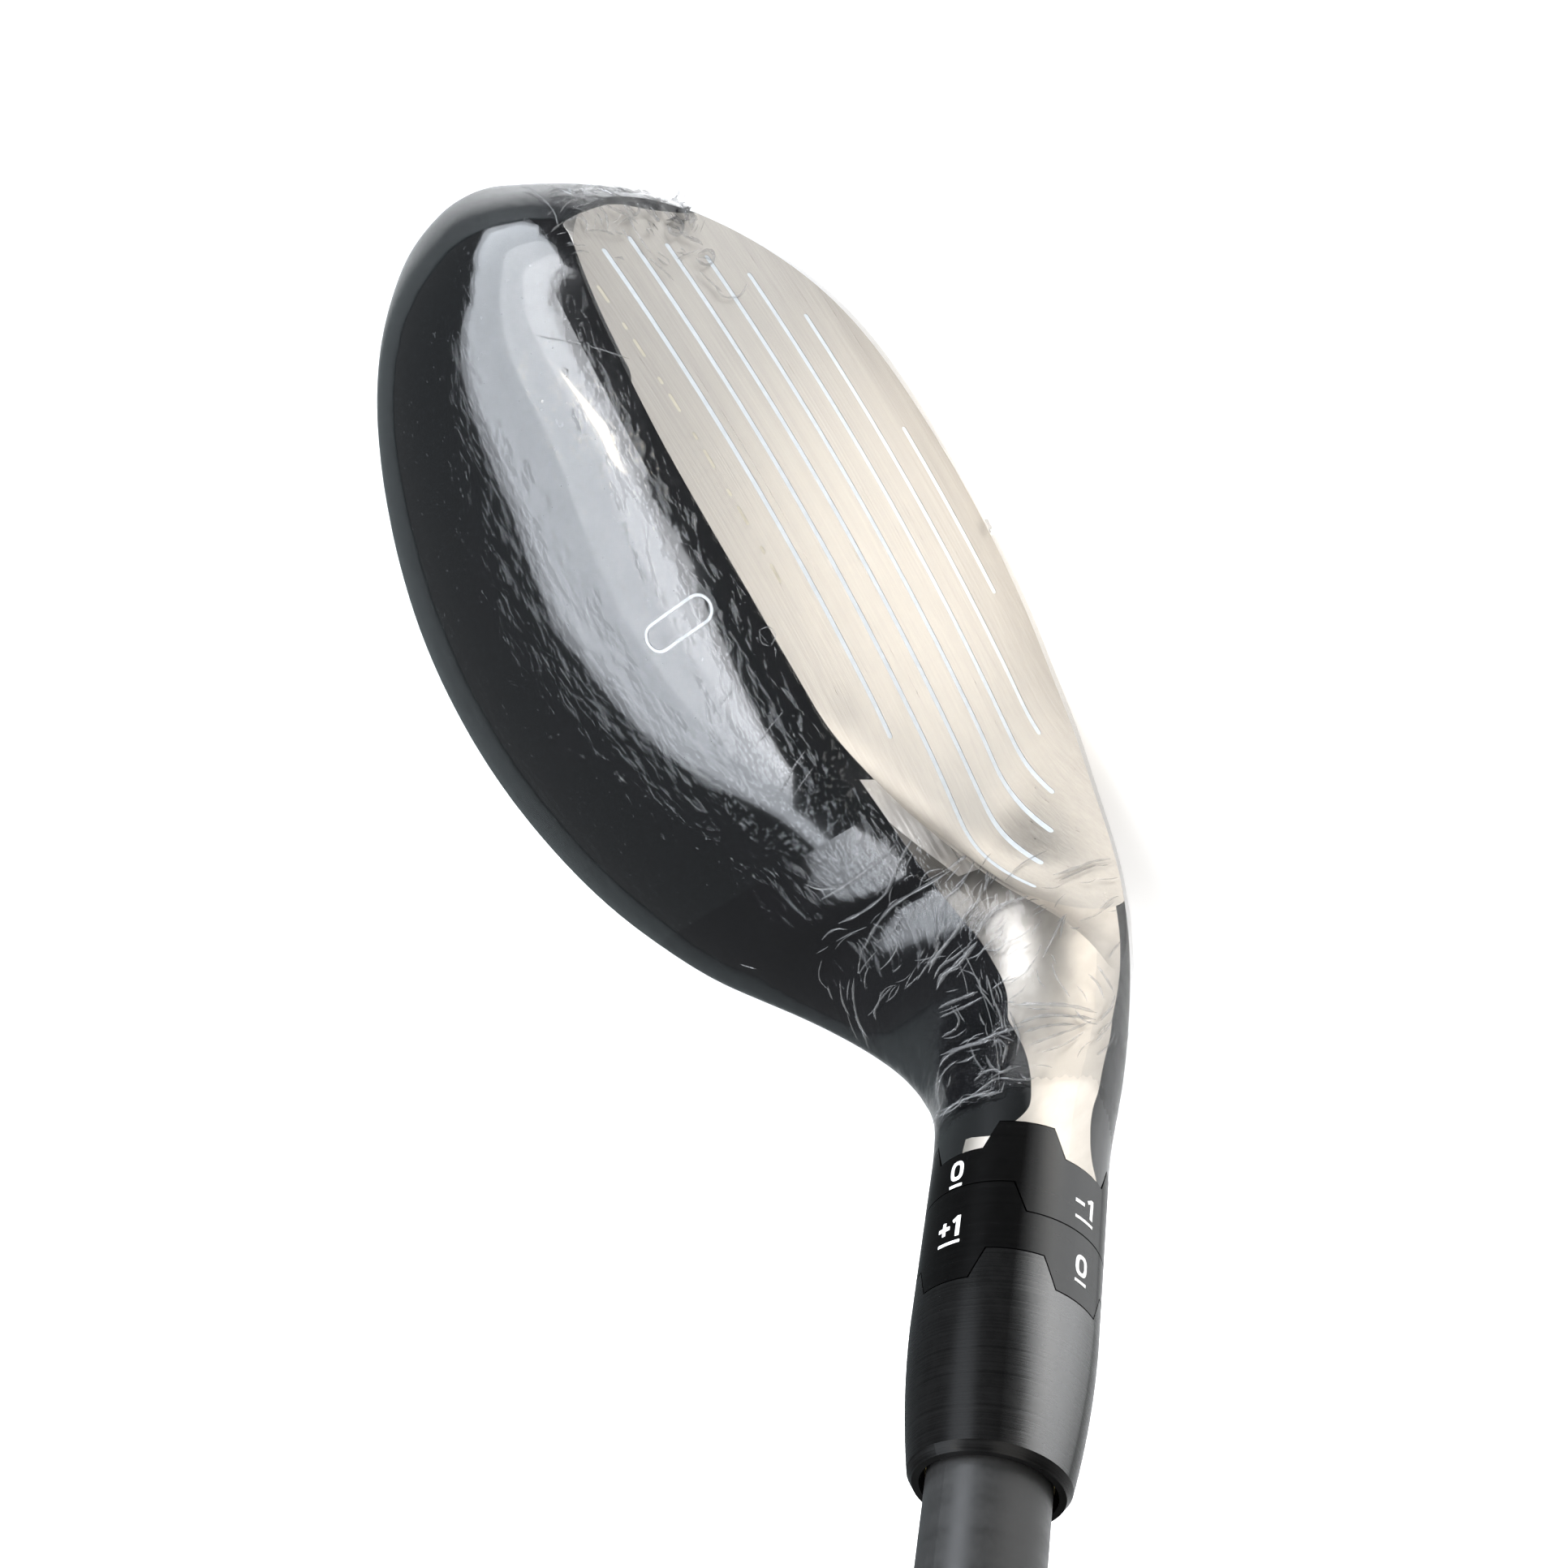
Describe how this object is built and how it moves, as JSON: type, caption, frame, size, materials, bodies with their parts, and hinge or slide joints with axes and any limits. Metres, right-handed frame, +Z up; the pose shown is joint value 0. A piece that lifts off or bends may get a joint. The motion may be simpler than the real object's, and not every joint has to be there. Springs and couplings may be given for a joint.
{
  "type": "hybrid golf club",
  "caption": "Left-handed hybrid golf club with an adjustable hosel, brushed face, glossy charcoal crown, wrapped head, graphite shaft and rubber grip.",
  "frame": {"origin": "middle of the small flat under the sole, where the head rests on the ground at address", "axes": "+Z up; +X from heel to toe; the face looks along -Y and the back of the head is towards +Y; the shaft rises towards -X at the lie angle"},
  "size_m": [0.6321, 0.0662, 0.885],
  "materials": {
    "body_black": "gloss black paint; bare satin steel on the hosel front",
    "crown_charcoal": "gloss charcoal with fine metallic fleck",
    "face_steel": "satin, brushed along the score lines",
    "line_white": "matte fill",
    "etch_pale": "fine etch",
    "mark_grey": "thin gloss line",
    "tungsten": "dull",
    "hot_melt": "waxy",
    "clear_film": "clear shrink film, crinkled",
    "ring_black": "gloss black anodised",
    "mark_white": "matte fill",
    "sleeve_black": "satin black anodised, turned",
    "insert_steel": "machined",
    "clip_spring": "spring steel",
    "screw_steel": "dark zinc",
    "washer_steel": "zinc",
    "clip_nylon": "nylon",
    "shaft_graphite": "satin dark grey",
    "bond_epoxy": "cured epoxy",
    "plug_brass": "machined",
    "tape": "double-sided tape",
    "grip_rubber": "matte, fine pattern",
    "cap_rubber": "matte",
    "weight_steel": "bead blasted"
  },
  "bodies": {
    "head": {"head_body": "body_black", "crown_shell": "crown_charcoal", "face_plate": "face_steel", "score_line_paint": "line_white", "face_etch_dashes": "etch_pale", "crown_sight_mark": "mark_grey", "tungsten_sole_bar": "tungsten", "hot_melt_damper": "hot_melt", "head_film": "clear_film", "screw_washer": "washer_steel"},
    "screw": {"hosel_screw": "screw_steel", "screw_retaining_clip": "clip_nylon"},
    "weight": {"sole_weight": "weight_steel"},
    "shaft_group": {"adapter_sleeve": "sleeve_black", "thread_insert": "insert_steel", "shaft": "shaft_graphite", "shaft_bond": "bond_epoxy", "tip_plug": "plug_brass", "grip_tape": "tape", "grip": "grip_rubber", "grip_cap": "cap_rubber"},
    "ring_guide": {"ring_guide_clip": "clip_spring"},
    "ring_lower": {"adjust_ring_lower": "ring_black", "ring_marks_lower": "mark_white"},
    "ring_upper": {"adjust_ring_upper": "ring_black", "ring_marks_upper": "mark_white"}
  },
  "joints": [
    {"name": "hosel_screw_turn", "type": "hinge", "parent": "head", "child": "screw", "pos_m": [-0.04106, -0.0062, 0.01023], "axis": [-0.5225, 0, 0.8526], "continuous": true},
    {"name": "sole_weight_turn", "type": "hinge", "parent": "head", "child": "weight", "pos_m": [0.00321, 0.0258, 0.004], "axis": [0, 0, 1], "continuous": true},
    {"name": "shaft_release", "type": "slide", "parent": "head", "child": "shaft_group", "axis": [-0.5225, 0, 0.8526], "range_m": [0, 0.06]},
    {"name": "ring_slide", "type": "slide", "parent": "shaft_group", "child": "ring_guide", "axis": [-0.5225, 0, 0.8526], "range_m": [-0.03, 0]},
    {"name": "ring_lower_turn", "type": "hinge", "parent": "ring_guide", "child": "ring_lower", "pos_m": [-0.06353, -0.0062, 0.04689], "axis": [-0.5225, 0, 0.8526], "range_deg": [0, 90]},
    {"name": "ring_upper_turn", "type": "hinge", "parent": "ring_guide", "child": "ring_upper", "pos_m": [-0.06718, -0.0062, 0.05286], "axis": [-0.5225, 0, 0.8526], "range_deg": [0, 90]}
  ],
  "couplings": [
    {"joint": "ring_slide", "follows": "shaft_release", "ratio": -0.5},
    {"joint": "ring_lower_turn", "follows": "shaft_release", "rad_per_m": 26.18},
    {"joint": "ring_upper_turn", "follows": "shaft_release", "rad_per_m": 26.18}
  ]
}
